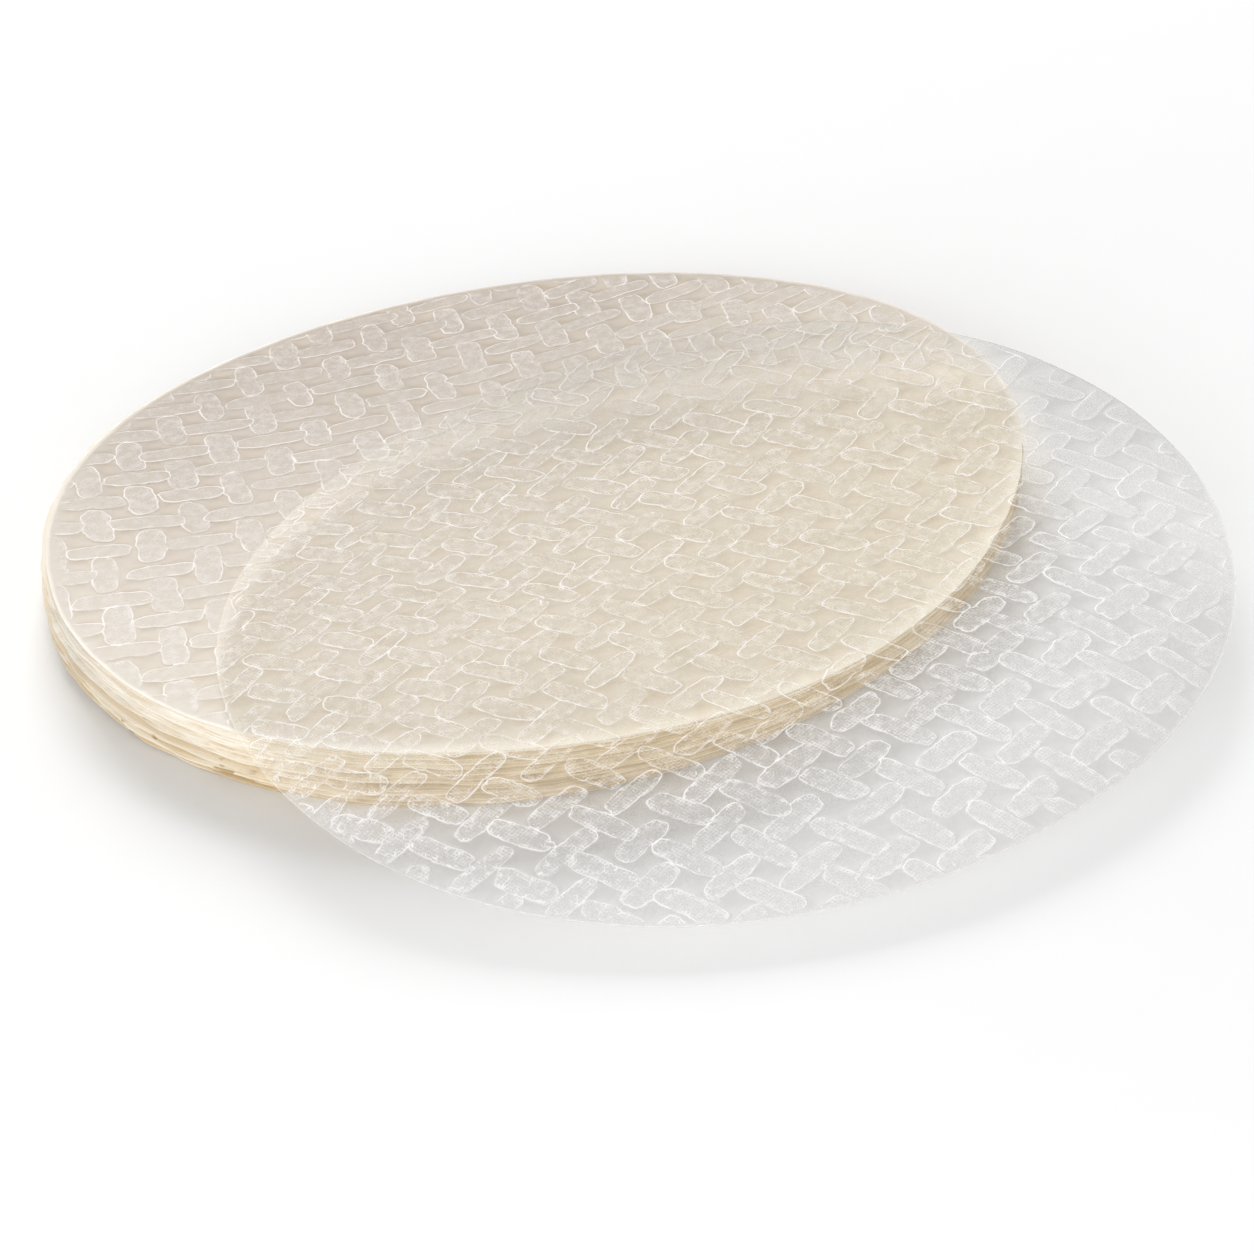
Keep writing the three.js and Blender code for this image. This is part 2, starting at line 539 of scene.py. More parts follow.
def filler_points(spacing, limit, taken):
    """Points on a triangular grid within limit of the middle, clear of the taken ones."""
    cell = spacing * CELL_SHARE
    occupied = set()
    for x, y in np.floor(taken / cell).astype(int).tolist():
        occupied.update((x + i, y + j) for i in (-1, 0, 1) for j in (-1, 0, 1))
    found = []
    rows = int(limit / (spacing * ROW_RISE)) + 1
    for row in range(-rows, rows + 1):
        y = row * spacing * ROW_RISE
        for column in range(-rows - 1, rows + 2):
            x = (column + 0.5 * (row % 2)) * spacing
            here = (math.floor(x / cell), math.floor(y / cell))
            if math.hypot(x, y) < limit and here not in occupied:
                found.append((x, y))
    return np.array(found)


def rim_circle(rim):
    """Bearings of the points round a rim, the rim's radius and the way outwards at each."""
    bearings = np.arange(RIM_POINTS) * 2 * math.pi / RIM_POINTS
    return bearings, rim(bearings), np.column_stack([np.cos(bearings), np.sin(bearings)])


def inside_rim(x, y, bearings, radii):
    """How far inside a rim each point lies."""
    bearing = np.arctan2(y, x) % (2 * math.pi)
    return np.interp(bearing, bearings, radii, period=2 * math.pi) - np.hypot(x, y)


def net_over_marks(marks, bearings, radii, outwards, outline_points):
    """A flat net with edges along the rim, the marks' beads and the edges of their middles."""
    points = [outwards * radii[:, None], outwards * (radii - RIM_BAND)[:, None]]
    edges = loop_edges(0, RIM_POINTS) + loop_edges(RIM_POINTS, RIM_POINTS)
    count = 2 * RIM_POINTS
    for mark in marks:
        rings = [(outline_points, offset) for offset in (-BEAD_HALF_WIDTH, 0.0, BEAD_HALF_WIDTH)]
        if mark.kind != CURL:
            rings.append((outline_points // 2, -CLEAR_MIDDLE))
        for ring_points, offset in rings:
            ring = mark.outline(ring_points, offset)
            inside = inside_rim(*ring.T, bearings, radii) > MARKS_STOP
            if not inside.any():
                continue
            number = (np.cumsum(inside) - 1 + count).tolist()
            edges += [
                (number[k], number[(k + 1) % ring_points])
                for k in range(ring_points)
                if inside[k] and inside[(k + 1) % ring_points]
            ]
            points.append(ring[inside])
            count += int(inside.sum())
    points.append(filler_points(UPPER_SPACING, radii.min() - UPPER_STOP, np.concatenate(points)))
    return triangulate(np.concatenate(points), edges)


def mark_values(marks, x, y, clearness):
    """What the marks give each point: their bead, their frosting, how far it is raised, and the
    painted shade round them."""
    line, frost, raised = np.zeros((3, len(x)))
    outside = np.full(len(x), SHEET_RADIUS)
    for mark in sorted(marks, key=lambda mark: mark.kind):
        near = np.flatnonzero(
            (np.abs(x - mark.centre[0]) < mark.reach) & (np.abs(y - mark.centre[1]) < mark.reach)
        )
        if not len(near):
            continue
        distance, bead = mark.distance(x[near], y[near])
        inside = np.clip(0.5 - 0.5 * distance / BEAD_HALF_WIDTH, 0, 1)
        bead = bead * np.clip(1 - np.abs(distance) / BEAD_HALF_WIDTH, 0, 1)
        line[near] = np.maximum(line[near] * (1 - smoothstep(0.5, 1.0, inside)), bead)
        clearing = 1 - clearness * smoothstep(BEAD_HALF_WIDTH, CLEAR_MIDDLE, -distance)
        frost[near] = np.maximum(frost[near] * (1 - inside), inside * mark.frost * clearing)
        raised[near] = np.maximum(raised[near], inside)
        outside[near] = np.minimum(outside[near], np.abs(distance - SHADE_PLACE))
    shade = (1 - smoothstep(0.1, SHADE_WIDTH, outside)) * (1 - raised)
    return line, frost, raised, shade


def imprinted_sheet(name, material, centre, rim, thickness, underside, mat, outline_points,
                    rim_fade, rim_line, ripples=0.05, pressed=0.0, clearness=PILE_CLEARNESS):
    """A closed thin sheet with the mat's marks raised on its upper face. Its thickness and its
    underside are functions of the place."""
    bearings, radii, outwards = rim_circle(rim)
    marks = marks_of(mat)
    flat, triangles, place = net_over_marks(marks, bearings, radii, outwards, outline_points)

    x, y = flat.T
    there_x, there_y = x + centre[0], y + centre[1]
    from_rim = inside_rim(x, y, bearings, radii)
    fade = smoothstep(0.3, rim_fade, from_rim)
    covered = 1 - pressed * under_loose_sheet(there_x, there_y)
    line, frost, raised, shade = mark_values(marks, x, y, clearness)
    line = line * (0.35 + 0.65 * fade) * covered
    line = np.maximum(line, rim_line * np.clip(1.3 - from_rim / RIM_BAND, 0, 1))
    frost = frost * (0.25 + 0.75 * fade) * covered
    raised = raised * fade * covered
    shade = shade * fade * covered
    margin = 1 - smoothstep(0.0, 1.0, from_rim / front_margin(x, y))

    rippled = ripples * ripple(x, y, mat.seed + RIPPLE_SEED, RIPPLE_LENGTH) * fade
    relief = BEAD_HEIGHT * line + FROST_HEIGHT * raised + rippled
    level = underside(there_x, there_y) + thickness(there_x, there_y)
    upper = np.column_stack([there_x, there_y, level + relief])

    filler = filler_points(UNDER_SPACING, radii.min() - UNDER_STOP, np.empty((0, 2)))
    under_flat, under_triangles, under_place = triangulate(
        np.concatenate([outwards * radii[:, None], filler]), loop_edges(0, RIM_POINTS)
    )
    under_x, under_y = under_flat[:, 0] + centre[0], under_flat[:, 1] + centre[1]
    lower = np.column_stack([under_x, under_y, underside(under_x, under_y)])

    shift = len(upper)
    above = place[:RIM_POINTS]
    below = under_place[:RIM_POINTS] + shift
    above_next = np.roll(above, -1)
    below_next = np.roll(below, -1)
    edge_band = np.concatenate([
        np.column_stack([below, below_next, above_next]),
        np.column_stack([below, above_next, above]),
    ])
    every = np.concatenate([triangles, under_triangles[:, ::-1] + shift, edge_band])

    points = np.concatenate([upper, lower])
    nothing = np.zeros(len(lower))
    values = {
        "mark_line": np.concatenate([line, nothing]),
        "mark_shade": np.concatenate([shade, nothing]),
        "mark_frost": np.concatenate([frost, nothing]),
        "crinkle": np.concatenate([crinkled(x, y, from_rim), nothing]),
        "upper_side": np.concatenate([np.ones(len(upper)), nothing]),
        "rim_margin": np.concatenate([margin, nothing + 1]),
        "sheet_tone": np.full(len(points), 0.6),
        "painted_pile_glow": painted_pile_glow(points[:, 0], points[:, 1]),
        "covered": under_loose_sheet(points[:, 0], points[:, 1]),
    }
    return mesh_object(name, points, every, material, values)


def plain_sheet(name, material, index):
    """A sheet inside the pile: smooth, with a wavy rim that is rounded over."""
    centre, rim = pile_sheet_outline(index)
    _, radii, outwards = rim_circle(rim)
    underside = pile_underside(index)
    rings = [outwards * (radii * share)[:, None] for share in PLAIN_RINGS]
    rings.append(outwards * (radii - RIM_ROUNDING)[:, None])
    flat = np.concatenate([np.zeros((1, 2)), *rings]) + np.array(centre)
    low = underside(*flat.T)
    lower = np.column_stack([flat, low])
    upper = np.column_stack([flat, low + pile_thickness(*flat.T)])
    edge_flat = outwards * radii[:, None] + np.array(centre)
    half_way = underside(*edge_flat.T) + pile_thickness(*edge_flat.T) * 0.5
    points = np.concatenate([lower, upper, np.column_stack([edge_flat, half_way])])

    here = np.arange(RIM_POINTS)
    after = (here + 1) % RIM_POINTS
    shift = len(lower)
    triangles = [
        np.column_stack([np.full(RIM_POINTS, shift), shift + 1 + here, shift + 1 + after]),
        np.column_stack([np.zeros(RIM_POINTS, int), 1 + after, 1 + here]),
    ]
    for ring in range(len(rings) - 1):
        for base, one, two in ((shift, here, after), (0, after, here)):
            inner = base + 1 + ring * RIM_POINTS
            outer = inner + RIM_POINTS
            triangles.append(np.column_stack([inner + one, outer + one, outer + two]))
            triangles.append(np.column_stack([inner + one, outer + two, inner + two]))
    tip = 2 * shift
    for base, one, two in ((0, here, after), (shift, after, here)):
        last = base + 1 + (len(rings) - 1) * RIM_POINTS
        triangles.append(np.column_stack([last + one, last + two, tip + two]))
        triangles.append(np.column_stack([last + one, tip + two, tip + one]))
    values = {"sheet_tone": np.full(len(points), 0.5 + 0.5 * stray(index, 6))}
    return mesh_object(name, points, np.concatenate(triangles), material, values, sharp=1.2)


# ---- Materials ----


def group_tree(name, inputs, outputs):
    """A node group with a vector input and named numbers in and out. Gives the group, what
    comes in and the node that takes the results."""
    tree = bpy.data.node_groups.new(name, "ShaderNodeTree")
    tree.interface.new_socket("Vector", in_out="INPUT", socket_type="NodeSocketVector")
    for label, usual in inputs.items():
        socket = tree.interface.new_socket(label, in_out="INPUT", socket_type="NodeSocketFloat")
        socket.default_value = usual
    for label in outputs:
        tree.interface.new_socket(label, in_out="OUTPUT", socket_type="NodeSocketFloat")
    start = tree.nodes.new("NodeGroupInput").outputs
    return tree, start, tree.nodes.new("NodeGroupOutput")


def feed(tree, made, **values):
    """Sets a node's inputs, given by name, or by number as i0, i1 and so on."""
    for key, value in values.items():
        by_number = key[0] == "i" and key[1:].isdigit()
        socket = made.inputs[int(key[1:]) if by_number else key.replace("_", " ")]
        if isinstance(value, bpy.types.NodeSocket):
            tree.links.new(value, socket)
        else:
            socket.default_value = value


def node(tree, kind, settings=None, **values):
    made = tree.nodes.new(kind)
    for key, value in (settings or {}).items():
        setattr(made, key, value)
    feed(tree, made, **values)
    return made


def maths(tree, operation, one, two=0.0, clamp=False):
    settings = {"operation": operation, "use_clamp": clamp}
    return node(tree, "ShaderNodeMath", settings, i0=one, i1=two).outputs[0]


def plus(tree, one, two, clamp=False):
    return maths(tree, "ADD", one, two, clamp)


def times(tree, one, two):
    return maths(tree, "MULTIPLY", one, two)


def axes(tree, vector):
    return node(tree, "ShaderNodeSeparateXYZ", None, Vector=vector).outputs


def spread(tree, value, low, high, to_low=0.0, to_high=1.0):
    made = node(
        tree, "ShaderNodeMapRange", {"interpolation_type": "SMOOTHSTEP"},
        i0=value, i1=low, i2=high, i3=to_low, i4=to_high,
    )
    return made.outputs[0]


def opaque(colour):
    """A colour given as red, green and blue. One that comes from a node stays as it is."""
    return (*colour, 1.0) if isinstance(colour, tuple) else colour


def blend_colour(tree, share, one, two):
    made = node(
        tree, "ShaderNodeMix", {"data_type": "RGBA"}, i0=share, i6=opaque(one), i7=opaque(two),
    )
    return made.outputs[2]


def blend_value(tree, share, one, two):
    made = node(tree, "ShaderNodeMix", {"data_type": "FLOAT"}, i0=share, i2=one, i3=two)
    return made.outputs[0]


def scaled_colour(tree, colour, level):
    made = node(tree, "ShaderNodeVectorMath", {"operation": "SCALE"}, i0=colour, Scale=level)
    return made.outputs[0]


def noise(tree, vector, scale, detail, roughness):
    """Noise over the sheet's plane."""
    made = node(
        tree, "ShaderNodeTexNoise", {"noise_dimensions": "2D"},
        Vector=vector, Scale=scale, Detail=detail, Roughness=roughness,
    )
    return made.outputs["Fac"]


def stretched_noise(tree, vector, stretch, detail):
    """Noise in space, finer along the axes that are stretched more."""
    stretched = node(tree, "ShaderNodeVectorMath", {"operation": "MULTIPLY"}, i0=vector, i1=stretch)
    made = node(
        tree, "ShaderNodeTexNoise", {"noise_dimensions": "3D"},
        Vector=stretched.outputs[0], Scale=1.0, Detail=detail, Roughness=0.6,
    )
    return made.outputs["Fac"]


# The frosting's grain and crackle, per metre, how far the crackle is bent, and how far apart the
# crossed threads are that the cloth over the mat prints, in metres.
GRAIN_SCALE = 1700.0
CRACKLE_SCALE = 330.0
CRACKLE_BEND = 0.004
CLOTH_PITCH = 0.0008
CLOTH_THREADS = 2 * math.pi / CLOTH_PITCH / math.sqrt(2)


def make_frosting():
    """Crackled, grainy frosting with small clear spots and some larger clear windows."""
    tree, start, end = group_tree(
        "frosting", {"Fine Unevenness": 0.5, "Slow Unevenness": 0.5}, ("Grain", "Seams")
    )
    vector = start["Vector"]
    soft = start["Fine Unevenness"]
    windows = start["Slow Unevenness"]
    fine = noise(tree, vector, GRAIN_SCALE, 1.0, 0.6)
    ridges = maths(tree, "ABSOLUTE", maths(tree, "SUBTRACT", fine, 0.5))
    threads = spread(tree, ridges, 0.0, 0.06, 1.0, 0.0)
    mixed = plus(tree, times(tree, fine, 0.5), times(tree, soft, 0.5))
    grains = spread(tree, mixed, 0.36, 0.64, 0.0, 0.9)
    both = maths(tree, "MAXIMUM", grains, times(tree, threads, 0.6))

    place = axes(tree, vector)
    one_way = plus(tree, place["X"], place["Y"])
    other_way = maths(tree, "SUBTRACT", place["X"], place["Y"])
    one_thread = maths(tree, "SINE", times(tree, one_way, CLOTH_THREADS))
    other_thread = maths(tree, "SINE", times(tree, other_way, CLOTH_THREADS))
    depth = spread(tree, soft, 0.35, 0.6, 0.12, 0.28)
    cloth = times(tree, plus(tree, one_thread, other_thread), depth)
    both = plus(tree, both, cloth, clamp=True)

    wander = node(tree, "ShaderNodeCombineXYZ", None, X=windows, Y=soft).outputs[0]
    bent = node(
        tree, "ShaderNodeVectorMath", {"operation": "MULTIPLY_ADD"},
        i0=wander, i1=(CRACKLE_BEND, CRACKLE_BEND, 0.0), i2=vector,
    )
    cracks = node(
        tree, "ShaderNodeTexVoronoi", {"feature": "DISTANCE_TO_EDGE", "voronoi_dimensions": "2D"},
        Vector=bent.outputs[0], Scale=CRACKLE_SCALE,
    )
    seams = spread(tree, cracks.outputs["Distance"], 0.015, 0.075, 1.0, 0.0)
    seams = times(tree, seams, spread(tree, soft, 0.42, 0.62))
    opening = spread(tree, windows, 0.62, 0.74, 1.0, 0.3)
    grain = maths(tree, "MAXIMUM", times(tree, both, opening), seams)
    feed(tree, end, Grain=grain, Seams=seams)
    return tree


# Strength of the pale glow along a bead, against 1 at its middle.
LINE_HALO = 0.26

# Noise over a sheet, per metre: fine and slow unevenness of its marks, its clouds, and its patches
# of painted shade.
FINE_UNEVENNESS = 420.0
SLOW_UNEVENNESS = 140.0
CLOUD_SCALE = 26.0
PATCH_SCALE = 110.0


def make_marks():
    """Turns the mesh's bead and frost values into crisp masks, broken up by unevenness."""
    tree, start, end = group_tree(
        "mat_marks", {"Line": 0.0, "Frost": 0.0, "Shade": 0.0},
        ("Line", "Frost", "Shade", "Fine Unevenness", "Slow Unevenness"),
    )
    uneven = noise(tree, start["Vector"], FINE_UNEVENNESS, 1.0, 0.5)
    broken = noise(tree, start["Vector"], SLOW_UNEVENNESS, 1.0, 0.5)
    frayed = times(tree, maths(tree, "SUBTRACT", uneven, 0.5), 0.4)
    thin = plus(tree, start["Line"], frayed)
    halo = times(tree, spread(tree, thin, 0.0, 0.7), LINE_HALO)
    line = maths(tree, "MAXIMUM", spread(tree, thin, 0.35, 0.80), halo)
    worn = times(tree, line, spread(tree, broken, 0.32, 0.58, 0.5, 1.0))
    edge = plus(tree, times(tree, uneven, 0.24), -0.12)
    frost = plus(tree, start["Frost"], edge, clamp=True)
    frost = times(tree, frost, spread(tree, start["Frost"], 0.0, 0.15))
    shade = times(tree, start["Shade"], spread(tree, broken, 0.35, 0.6, 0.25, 1.0))
    feed(tree, end, Line=worn, Frost=frost, Shade=shade)
    feed(tree, end, Fine_Unevenness=uneven, Slow_Unevenness=broken)
    return tree


def make_cloudiness():
    """Slow unevenness of a dried sheet: thick and thin places, and patches that serve as painted
    shade.
    """
    tree, start, end = group_tree("cloudiness", {}, ("Cloud", "Patches"))
    slow = noise(tree, start["Vector"], CLOUD_SCALE, 1.0, 0.5)
    patches = noise(tree, start["Vector"], PATCH_SCALE, 2.0, 0.65)
    feed(tree, end, Cloud=spread(tree, slow, 0.3, 0.7), Patches=patches)
    return tree


FROSTING = make_frosting()
MARKS = make_marks()
CLOUDINESS = make_cloudiness()


def placed(tree, group, **values):
    return node(tree, "ShaderNodeGroup", {"node_tree": group}, **values).outputs


# Dried paper shines less than plastic: the specular level of all sheets, and the floor's.
PAPER_SHEEN = 0.15
FLOOR_SHEEN = 0.1


def start_material(name, sheen=PAPER_SHEEN):
    material = bpy.data.materials.new(name)
    material.use_nodes = True
    tree = material.node_tree
    tree.nodes.clear()
    end = tree.nodes.new("ShaderNodeOutputMaterial")
    shader = node(tree, "ShaderNodeBsdfPrincipled", None, Specular_IOR_Level=sheen)
    feed(tree, end, Surface=shader.outputs[0])
    vector = tree.nodes.new("ShaderNodeTexCoord").outputs["Object"]
    return material, tree, shader, vector


# The share of the lamps' light that the loose sheet and the pile's top sheet let through.
LOOSE_LETS_THROUGH = 0.76
TOP_LETS_THROUGH = 0.3

# Streaks along the pile's side and its voids of painted shade, per metre along each axis.
STREAK_STRETCH = (60.0, 60.0, 3400.0)
VOID_STRETCH = (190.0, 190.0, 800.0)


def let_lamps_through(tree, shader, share):
    """Lamps see the sheet as a pale grey pane that lets this share of their light through."""
    pane = node(tree, "ShaderNodeBsdfTransparent", None, Color=(share, share, share, 1.0))
    path = tree.nodes.new("ShaderNodeLightPath")
    mix = node(
        tree, "ShaderNodeMixShader", None,
        i0=path.outputs["Is Shadow Ray"], i1=shader.outputs[0], i2=pane.outputs[0],
    )
    end = next(made for made in tree.nodes if made.type == "OUTPUT_MATERIAL")
    feed(tree, end, Surface=mix.outputs[0])


def mesh_value(tree, name):
    return node(tree, "ShaderNodeAttribute", {"attribute_name": name}).outputs["Fac"]


def mark_masks(tree, vector):
    return placed(
        tree, MARKS, Vector=vector, Line=mesh_value(tree, "mark_line"),
        Frost=mesh_value(tree, "mark_frost"), Shade=mesh_value(tree, "mark_shade"),
    )


def frosting_masks(tree, vector, marks):
    return placed(
        tree, FROSTING, Vector=vector, Fine_Unevenness=marks["Fine Unevenness"],
        Slow_Unevenness=marks["Slow Unevenness"],
    )


def see_through_paper():
    """The loose sheet: clear film, frosted marks, bright beads. Light passes through the film more
    freely than sight does, so lamps reach what lies beneath it. Over the pile its colours carry a
    painted warm glow of the pile, and further back they are painted darker."""
    material, tree, shader, vector = start_material("see_through_rice_paper")
    painted_glow_share = mesh_value(tree, "painted_pile_glow")
    marks = mark_masks(tree, vector)
    frosting = frosting_masks(tree, vector, marks)
    cloud = placed(tree, CLOUDINESS, Vector=vector)["Cloud"]
    crinkle = times(tree, mesh_value(tree, "crinkle"), marks["Frost"])
    crease = times(tree, crinkle, spread(tree, frosting["Seams"], 0.1, 0.6))
    bright = maths(tree, "MAXIMUM", marks["Line"], crease)
    shade = times(tree, marks["Shade"], blend_value(tree, painted_glow_share, 0.18, 0.8))

    # How much each part hides what lies beneath, over the floor and over the pile.
    film = blend_value(tree, painted_glow_share, 0.36, 0.21)
    film = plus(tree, film, spread(tree, cloud, 0.0, 1.0, -0.03, 0.03))
    film = blend_value(tree, shade, film, 0.4)
    thin_frost = blend_value(tree, painted_glow_share, 0.24, 0.2)
    thick_frost = blend_value(tree, painted_glow_share, 0.8, 0.6)
    frost_alpha = blend_value(tree, frosting["Grain"], thin_frost, thick_frost)
    frost_alpha = plus(tree, frost_alpha, times(tree, crinkle, 0.1))
    alpha = blend_value(tree, marks["Frost"], film, frost_alpha)
    alpha = blend_value(tree, bright, alpha, blend_value(tree, painted_glow_share, 0.8, 0.66))
    alpha = blend_value(tree, mesh_value(tree, "upper_side"), 0.05, alpha)

    # The warm colours over the pile are a painted glow of the pile's light; the dark ones are
    # painted shade beside the marks.
    clear = blend_colour(tree, painted_glow_share, (0.74, 0.725, 0.715), (0.86, 0.795, 0.66))
    dark = blend_colour(tree, painted_glow_share, (0.42, 0.405, 0.39), (0.60, 0.49, 0.345))
    clear = blend_colour(tree, shade, clear, dark)
    frost_low = blend_colour(tree, painted_glow_share, (0.70, 0.69, 0.69), (0.67, 0.59, 0.48))
    frost_high = blend_colour(tree, painted_glow_share, (0.95, 0.94, 0.94), (0.94, 0.905, 0.85))
    frost = blend_colour(tree, frosting["Grain"], frost_low, frost_high)
    frost = blend_colour(tree, times(tree, crinkle, 0.6), frost, (0.75, 0.74, 0.73))

    # Painted shade: the film's colours are darkened further back, where less light reaches it, and
    # at its ends.
    place = axes(tree, vector)
    far_over_floor = spread(tree, place["Y"], -0.075, -0.01, 1.0, 0.38)
    foremost = spread(tree, place["Y"], -0.165, -0.115, 0.84, 1.0)
    rightmost = spread(tree, place["X"], 0.085, 0.135, 1.0, 0.86)
    far_over_floor = times(tree, far_over_floor, times(tree, foremost, rightmost))
    far_over_pile = spread(tree, place["Y"], -0.01, 0.045, 1.0, 0.46)
    far = blend_value(tree, painted_glow_share, far_over_floor, far_over_pile)
    frost_level = blend_value(tree, painted_glow_share, blend_value(tree, 0.5, far, 1.0), far)
    line_level = blend_value(tree, blend_value(tree, painted_glow_share, 0.8, 0.5), far, 1.0)
    clear = scaled_colour(tree, clear, far)
    frost = scaled_colour(tree, frost, frost_level)
    line = scaled_colour(tree, (0.97, 0.955, 0.94), line_level)
    colour = blend_colour(tree, marks["Frost"], clear, frost)
    colour = blend_colour(tree, bright, colour, line)
    roughness = blend_value(tree, marks["Frost"], 0.34, 0.6)
    feed(tree, shader, Base_Color=colour, Alpha=alpha, Roughness=roughness)
    let_lamps_through(tree, shader, LOOSE_LETS_THROUGH)
    return material


def top_paper():
    """The pile's top sheet: cream, half see-through, with pale frosted marks. Its colours run from
    far to near: darker and greyer at the back and paler at the front, as painted shade and light."""
    material, tree, shader, vector = start_material("top_rice_paper")
    marks = mark_masks(tree, vector)
    frosting = frosting_masks(tree, vector, marks)
    cloud = placed(tree, CLOUDINESS, Vector=vector)
    place = axes(tree, vector)
    # Painted light and shade: the colours below run from darker and greyer at the back to paler at
    # the front, with the far left a little paler.
    forward = maths(tree, "SUBTRACT", times(tree, place["X"], 0.3), place["Y"])
    lift = spread(tree, place["X"], -0.11, -0.07, 0.03, 0.0)
    near = spread(tree, plus(tree, forward, lift), -0.125, 0.08)
    cream_far = blend_colour(tree, cloud["Cloud"], (0.45, 0.38, 0.315), (0.50, 0.425, 0.36))
    cream_near = blend_colour(tree, cloud["Cloud"], (0.745, 0.665, 0.56), (0.79, 0.715, 0.62))
    frost_far = blend_colour(tree, frosting["Grain"], (0.48, 0.41, 0.35), (0.74, 0.69, 0.65))
    frost_near = blend_colour(tree, frosting["Grain"], (0.765, 0.70, 0.615), (0.895, 0.86, 0.82))
    cream = blend_colour(tree, near, cream_far, cream_near)
    # Painted warm glow: towards the right and the front the cream turns yellow, as light through
    # the pile would make it.
    painted_yellow_glow = times(tree, spread(tree, place["X"], -0.03, 0.09), near)
    cream = blend_colour(tree, times(tree, painted_yellow_glow, 0.6), cream, (0.86, 0.765, 0.55))
    # Painted shade: brown patches, stronger under the loose sheet, where its shadow falls, and the
    # darker line round the marks.
    covered = mesh_value(tree, "covered")
    patch = spread(tree, cloud["Patches"], 0.48, 0.68, 0.1, 1.0)
    shade = times(tree, patch, plus(tree, times(tree, covered, 0.25), 0.2))
    shade = maths(tree, "MAXIMUM", shade, times(tree, marks["Shade"], 0.28))
    cream = blend_colour(tree, shade, cream, (0.58, 0.45, 0.28))
    frost = blend_colour(tree, near, frost_far, frost_near)
    line = blend_colour(tree, near, (0.74, 0.69, 0.65), (0.91, 0.87, 0.825))

    # The margin's colours are painted shade at the back and painted light at the front, warmer to
    # the right and under the loose sheet.
    margin = mesh_value(tree, "rim_margin")
    rightward = spread(tree, place["X"], -0.05, 0.03)
    margin_covered = blend_colour(tree, rightward, (0.90, 0.855, 0.785), (0.91, 0.845, 0.705))
    margin_near = blend_colour(tree, covered, (0.81, 0.755, 0.675), margin_covered)
    margin_colour = blend_colour(tree, near, (0.54, 0.465, 0.38), margin_near)
    colour = blend_colour(tree, marks["Frost"], cream, frost)
    colour = blend_colour(tree, margin, colour, margin_colour)
    colour = blend_colour(tree, marks["Line"], colour, line)
    # The edge faces are golden, darker at the back: painted shade.
    facing = tree.nodes.new("ShaderNodeNewGeometry").outputs["True Normal"]
    flatness = spread(tree, axes(tree, facing)["Z"], 0.3, 0.8)
    edge = blend_colour(tree, near, (0.50, 0.42, 0.33), (0.78, 0.71, 0.595))
    colour = blend_colour(tree, flatness, edge, colour)
    alpha = maths(tree, "MAXIMUM", blend_value(tree, marks["Frost"], 0.66, 0.86), margin)
    alpha = blend_value(tree, marks["Line"], alpha, 1.0)
    roughness = blend_value(tree, marks["Frost"], 0.38, 0.65)
    feed(tree, shader, Base_Color=colour, Alpha=alpha, Roughness=roughness)
    let_lamps_through(tree, shader, TOP_LETS_THROUGH)
    return material


def pile_paper():
    """Sheets inside the pile: cream, streaked along their edges. They are more golden lower down
    and towards the loose sheet: lower down this is real colour with painted shade at the foot, and
    to the right it is painted shade under the loose sheet, with painted light at the far right. A
    few brown voids are painted shade."""
    material, tree, shader, vector = start_material("pile_rice_paper")
    marks = mark_masks(tree, vector)
    place = axes(tree, vector)
    # Painted light and shade on the side: paler at the left; darker and more golden to the right,
    # where it lies in shade under the loose sheet; brighter again at the far right. Lower down it
    # is more golden, real colour, and darker, painted shade at the foot.
    level = spread(tree, place["Z"], 0.001, 0.0155)
    rightward = spread(tree, place["X"], -0.092, -0.03)
    streak = stretched_noise(tree, vector, STREAK_STRETCH, 3.0)
    tone = mesh_value(tree, "sheet_tone")
    mixed = plus(tree, times(tree, streak, 0.75), times(tree, tone, 0.25))
    lightness = spread(tree, mixed, 0.40, 0.57)
    golden_left = blend_colour(tree, lightness, (0.78, 0.65, 0.46), (0.94, 0.88, 0.765))
    golden_right = blend_colour(tree, lightness, (0.59, 0.43, 0.215), (0.87, 0.735, 0.50))
    bright_right = blend_colour(tree, lightness, (0.72, 0.55, 0.29), (0.95, 0.83, 0.61))
    pale_left = blend_colour(tree, lightness, (0.88, 0.80, 0.67), (0.97, 0.935, 0.875))
    pale_right = blend_colour(tree, lightness, (0.83, 0.735, 0.57), (0.95, 0.905, 0.82))
    far_right = spread(tree, place["X"], -0.01, 0.06)
    golden_right = blend_colour(tree, far_right, golden_right, bright_right)
    golden = blend_colour(tree, rightward, golden_left, golden_right)
    pale = blend_colour(tree, rightward, pale_left, pale_right)
    pale = blend_colour(tree, spread(tree, place["X"], -0.07, 0.02, 0.0, 0.9), pale, golden_right)
    colour = blend_colour(tree, level, golden, pale)
    # Painted shade: brown voids low in the pile stand for the dark of deep gaps between sheets.
    voids = spread(tree, stretched_noise(tree, vector, VOID_STRETCH, 1.0), 0.66, 0.72)
    voids = times(tree, voids, spread(tree, place["Z"], 0.004, 0.011, 0.8, 0.0))
    colour = blend_colour(tree, voids, colour, (0.50, 0.35, 0.15))
    colour = blend_colour(tree, times(tree, marks["Frost"], 0.5), colour, (0.88, 0.83, 0.76))
    colour = blend_colour(tree, marks["Line"], colour, (0.93, 0.89, 0.82))
    feed(tree, shader, Base_Color=colour, Roughness=blend_value(tree, lightness, 0.6, 0.45))
    return material


